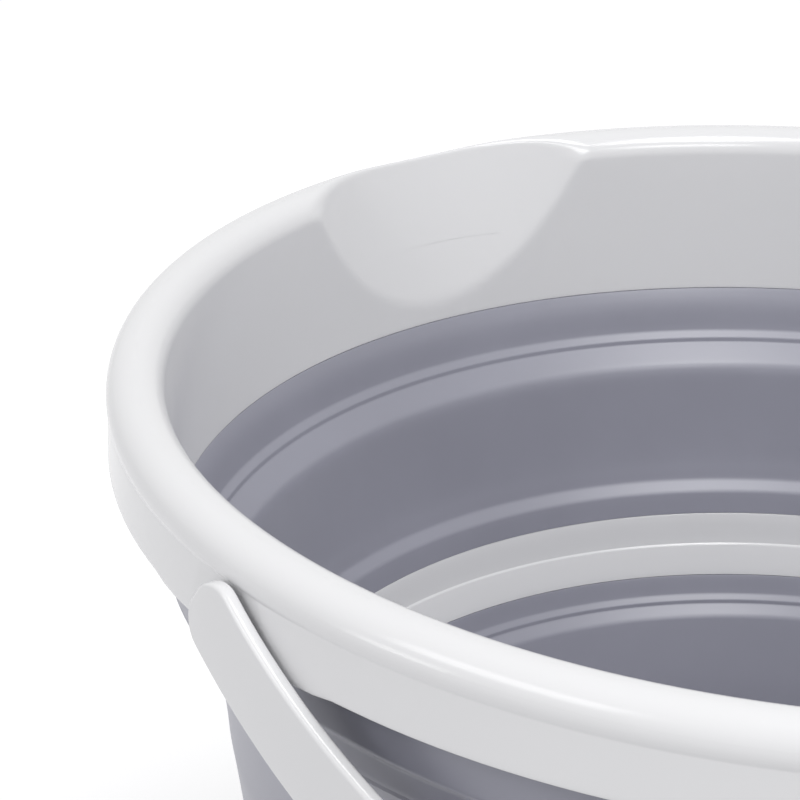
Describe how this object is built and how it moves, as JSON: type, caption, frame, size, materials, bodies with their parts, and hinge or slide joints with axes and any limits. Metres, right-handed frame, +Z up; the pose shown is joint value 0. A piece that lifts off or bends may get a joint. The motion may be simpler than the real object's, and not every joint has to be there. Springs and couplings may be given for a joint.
{
  "type": "collapsible bucket",
  "caption": "Round pail with a rolled white rim and pour spout, soft grey walls that fold inside out, a stiff middle ring, a tapered base and a swinging bail handle.",
  "frame": {"origin": "on the ground under the middle of the foot ring, on the bucket's axis", "axes": "+Z up along the bucket's axis, the handle's pivots on X, the pour spout towards +Y, the handle hanging towards -Y"},
  "size_m": [0.3212, 0.314, 0.2321],
  "materials": {
    "white_plastic": "glossy moulded white",
    "grey_rubber": "smooth matt cool grey",
    "handle_plastic": "satin moulded white"
  },
  "bodies": {
    "base": {"base": "white_plastic", "lower_fold_wall": "grey_rubber"},
    "middle_ring": {"middle_ring": "white_plastic", "upper_fold_wall": "grey_rubber"},
    "rim": {"rim": "white_plastic"},
    "handle": {"handle": "handle_plastic"}
  },
  "joints": [
    {"name": "lower_fold", "type": "slide", "parent": "base", "child": "middle_ring", "axis": [0, 0, -1], "range_m": [0, 0.07], "deforming": ["lower_fold_wall"]},
    {"name": "upper_fold", "type": "slide", "parent": "middle_ring", "child": "rim", "axis": [0, 0, -1], "range_m": [0, 0.07], "deforming": ["upper_fold_wall"]},
    {"name": "handle_swing", "type": "hinge", "parent": "rim", "child": "handle", "pos_m": [0, 0, 0.2167], "axis": [-1, 0, 0], "range_deg": [0, 251]}
  ]
}
